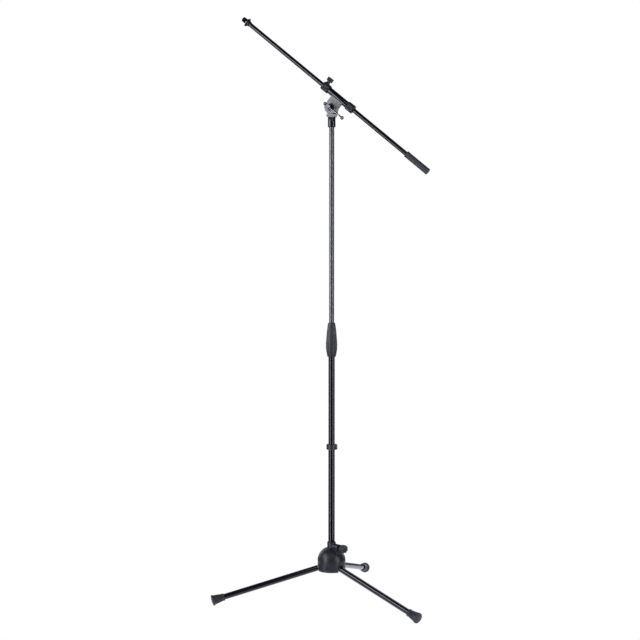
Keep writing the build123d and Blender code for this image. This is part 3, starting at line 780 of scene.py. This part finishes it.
def lock_ring(line):
    """Plated lock ring with a knurled edge."""
    low, high, radius = span("lock_ring", line)
    bore = TIP_NECK + 0.1 * MM
    edge = radius - 0.1 * MM
    face = radius - 1.0 * MM
    teeth = 44
    depth = 0.3 * MM
    outline = [
        (low, bore),
        (low, face),
        (low + 0.5 * MM, edge),
        (high - 0.5 * MM, edge),
        (high, face),
        (high, bore),
    ]

    def knurled(angle, station, out):
        dent = 0.5 + 0.5 * cos(teeth * angle)
        return out - depth * dent * smooth_step(out, radius - 0.8 * MM, radius)

    soft = softened(outline, 0.25 * MM, 2, closed=True)
    piece = turned("lock_ring_knurled", line, soft, "boom_ring", teeth * 6, knurled, closed=True)
    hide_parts("lock_ring")
    paint(piece, "chrome")


def weight_cover(line):
    """Moulded cover of the counterweight, recessed along its middle and dished at its end."""
    low, high, radius = span("counterweight_cover", line)
    tube = span("boom_tube", line)[2]
    slug = span("counterweight", line)[2]
    corner = radius - 1.4 * MM
    recess = radius - 0.35 * MM
    dish = high - 0.7 * MM
    front_wall = low + 1 * MM
    end_wall = high - 3 * MM
    outline = [
        (low, tube),
        (low, corner),
        (low + 1.2 * MM, radius - 0.1 * MM),
        (low + 5 * MM, radius),
        (low + 5.6 * MM, recess),
        (high - 6 * MM, recess),
        (high - 5.4 * MM, radius),
        (high - 1.2 * MM, radius - 0.1 * MM),
        (high, corner),
        (high, radius * 0.7),
        (dish, radius * 0.62),
        (dish, 0.0),
    ]
    soft = softened(outline, 0.5 * MM, 3)
    inside = [(end_wall, 0.0), (end_wall, slug), (front_wall, slug), (front_wall, tube)]
    piece = turned("counterweight_skin", line, soft + inside, "boom", 96, closed=True)
    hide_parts("counterweight_cover")
    paint(piece, "weight_plastic")


def arc(radius, start, end, steps=96):
    """Points on a circle round a line from one angle to another, in degrees."""
    result = []
    for step in range(steps + 1):
        angle = radians(start + (end - start) * step / steps)
        result.append((radius * cos(angle), radius * sin(angle)))
    return result


def cable_clip(line):
    """Snap ring on the mast: an open ring whose two ends turn out into small cable jaws."""
    low, high, _ = span("cable_clip", line)
    tube = span("lower_tube", line)[2] + 0.1 * MM
    ring = 16.2 * MM
    ring_gap = 18
    tube_gap = 4
    jaw_end = 18.0 * MM
    jaw_outside = 4.5 * MM
    jaw_inside = 0.8 * MM
    outline = arc(ring, ring_gap, 360 - ring_gap)
    outline += [(jaw_end, -jaw_outside), (jaw_end, -jaw_inside)]
    outline += arc(tube, 360 - tube_gap, tube_gap)
    outline += [(jaw_end, jaw_inside), (jaw_end, jaw_outside)]
    piece = extruded("cable_clip_ring", line, outline, low, high, "clip", 0.9 * MM)
    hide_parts("cable_clip")
    paint(piece, "knob_plastic")


def soften_edges():
    """Small rounded edges on pieces that are shown as they come from the frame."""
    widths = {
        "base_housing": 0.5 * MM,
        "boom_sleeve": 0.3 * MM,
        "end_plug": 0.3 * MM,
        "leg_carrier": 0.5 * MM,
        "neck_sleeve": 0.4 * MM,
        "tilt_knuckle": 0.5 * MM,
        "tilt_nut": 0.4 * MM,
        "tilt_screw": 0.3 * MM,
        "tilt_washer": 0.3 * MM,
        "tube_liner": 0.3 * MM,
    }
    for node, width in widths.items():
        piece = frame["nodes"][node]
        weld = piece.modifiers.new("weld", "WELD")
        weld.merge_threshold = 0.001 * MM
        rounded_edges(piece, width, 2, 38)


# ---------------------------------------------------------------- stage


def stage_floor():
    """A pale matte floor that lights the object; the camera looks through it at the white room.

    So the legs still show when they fold below it. Reflections see a white sheet round the
    stand's feet and nothing beyond it.
    """
    reach = 30.0
    sheet_inside = 0.5
    sheet_outside = 0.7
    corners = [(-reach, -reach, 0), (reach, -reach, 0), (reach, reach, 0), (-reach, reach, 0)]
    mesh = bpy.data.meshes.new("floor")
    mesh.from_pydata(corners, [], [(0, 1, 2, 3)])
    floor = bpy.data.objects.new("floor", mesh)
    floor.location.z = -0.2 * MM
    bpy.context.scene.collection.objects.link(floor)
    nodes = Nodes("floor_paper")
    nodes.set(Roughness=0.9, Specular_IOR_Level=0.0, Emission_Color=DAYLIGHT)
    path = nodes.tree.nodes.new("ShaderNodeLightPath")
    mirrored = path.outputs["Is Glossy Ray"]
    paper = nodes.mixed(nodes.noise(6.0, 4.0), shade(WHITE[:3], 0.86), shade(WHITE[:3], 0.9))
    nodes.drive("Base Color", nodes.mixed(mirrored, paper, BLACK))
    nodes.drive("Emission Strength", nodes.ranged(mirrored, 0.0, FLOOR_MIRRORED, 0.0, 1.0))
    distance = nodes.maths("LENGTH", nodes.place)
    far = nodes.ranged(distance, 0.0, 1.0, sheet_inside, sheet_outside)
    beyond = nodes.maths("MULTIPLY", mirrored, far)
    clear = nodes.maths("ADD", path.outputs["Is Camera Ray"], beyond)
    nodes.drive("Alpha", nodes.ranged(clear, 1.0, 0.0, 0.0, 1.0))
    mesh.materials.append(nodes.material)


def stage_world():
    """A white room behind the object and a dim one in front, as the reflections see them."""
    world = bpy.data.worlds.new("studio")
    world.use_nodes = True
    tree = world.node_tree

    def blended(factor, first, second, kind="FLOAT"):
        mix = tree.nodes.new("ShaderNodeMix")
        mix.data_type = kind
        tree.links.new(factor, mix.inputs["Factor"])
        for value, socket in ((first, mix.inputs["A"]), (second, mix.inputs["B"])):
            if isinstance(value, (float, tuple)):
                socket.default_value = value
            else:
                tree.links.new(value, socket)
        return mix.outputs["Result"]

    def risen(value, low, high):
        step = tree.nodes.new("ShaderNodeMapRange")
        step.inputs["From Min"].default_value = low
        step.inputs["From Max"].default_value = high
        tree.links.new(value, step.inputs["Value"])
        return step.outputs["Result"]

    # Incoming points back along the ray, so it is below the horizon for a ray that goes up
    incoming = tree.nodes.new("ShaderNodeNewGeometry").outputs["Incoming"]
    towards = radians(VIEW_AZIMUTH)
    away = tree.nodes.new("ShaderNodeVectorMath")
    away.operation = "DOT_PRODUCT"
    away.inputs[1].default_value = (sin(towards), -cos(towards), 0)
    tree.links.new(incoming, away.inputs[0])
    split = tree.nodes.new("ShaderNodeSeparateXYZ")
    tree.links.new(incoming, split.inputs[0])
    behind = risen(away.outputs["Value"], 0.35, 0.75)
    above = risen(split.outputs["Z"], 0.0, -0.2)

    path = tree.nodes.new("ShaderNodeLightPath")
    seen = path.outputs["Is Camera Ray"]
    backdrop = blended(above, ROOM_FRONT, ROOM_BACK)
    mirrored = blended(behind, ROOM_FRONT, backdrop)
    unseen = blended(path.outputs["Is Glossy Ray"], ROOM_FILL, mirrored)
    background = tree.nodes["Background"]
    tree.links.new(blended(seen, unseen, 1.0), background.inputs["Strength"])
    tree.links.new(blended(seen, DAYLIGHT, WHITE, "RGBA"), background.inputs["Color"])
    bpy.context.scene.world = world


# Upright soft lights: azimuth in degrees round the mast, 0 at the camera and + to its right;
# distance from the mast, width, height of the lower and of the upper edge; radiance
SOFTBOXES = {
    "softbox_left": (-51, 2.2, 0.42, -0.3, 2.0, 10.4),
    "softbox_right": (51, 2.2, 0.42, -0.3, 1.9, 8.8),
    "softbox_side": (-78, 2.2, 0.75, 1.0, 2.0, 6.8),
    "softbox_head": (-35, 2.4, 0.5, 1.6, 2.15, 1.5),
    "softbox_top": (14, 2.0, 0.7, 1.95, 3.2, 3.0),
    "softbox_back_left": (-142, 2.5, 0.7, 0.1, 1.3, 2.6),
    "softbox_back_right": (142, 2.5, 0.7, 0.1, 1.3, 2.6),
}


def softbox(name, centre, azimuth, distance, width, low, high, radiance):
    """One soft light that faces the mast."""
    towards = radians(VIEW_AZIMUTH)
    back = Vector((sin(towards), -cos(towards), 0))
    right = Vector((cos(towards), sin(towards), 0))
    side = back * cos(radians(azimuth)) + right * sin(radians(azimuth))
    data = bpy.data.lights.new(name, "AREA")
    data.shape = "RECTANGLE"
    data.size = width
    data.size_y = high - low
    data.energy = radiance * pi * width * (high - low)
    data.color = DAYLIGHT[:3]
    lamp = bpy.data.objects.new(name, data)
    lamp.location = centre + side * distance + Vector((0, 0, (low + high) / 2))
    lamp.rotation_euler = side.to_track_quat("Z", "Y").to_euler()
    lamp.visible_camera = False
    bpy.context.scene.collection.objects.link(lamp)


def camera(centre, distance, height, turn, pitch, lens):
    """A long lens at the view's azimuth, turned a little to its left and looking down."""
    azimuth = radians(VIEW_AZIMUTH)
    back = Vector((sin(azimuth), -cos(azimuth), 0))
    facing = azimuth + radians(turn)
    level = Vector((-sin(facing), cos(facing), 0))
    forward = level * cos(radians(pitch)) - Vector((0, 0, 1)) * sin(radians(pitch))
    data = bpy.data.cameras.new("camera")
    data.lens = lens
    data.sensor_width = 36.0
    seen = bpy.data.objects.new("camera", data)
    seen.location = centre + back * distance + Vector((0, 0, height))
    seen.rotation_euler = forward.to_track_quat("-Z", "Y").to_euler()
    bpy.context.scene.collection.objects.link(seen)
    bpy.context.scene.camera = seen


# ---------------------------------------------------------------- build

mast = mast_line()
boom = boom_line()
paint_cad_nodes()
clutch_grip(mast)
for leg in (1, 2, 3):
    rubber_foot(leg)
base_knob()
boom_knob()
bushing("front_bushing", boom, -1)
bushing("rear_bushing", boom, 1)
lock_lug(boom)
tip_adapter(boom)
lock_ring(boom)
weight_cover(boom)
cable_clip(mast)
soften_edges()

stage_floor()
stage_world()
for name, values in SOFTBOXES.items():
    softbox(name, mast.origin, *values)
camera(mast.origin, distance=4.243, height=1.104, turn=0.489, pitch=3.006, lens=76.64)
bpy.context.scene.view_settings.view_transform = "Standard"
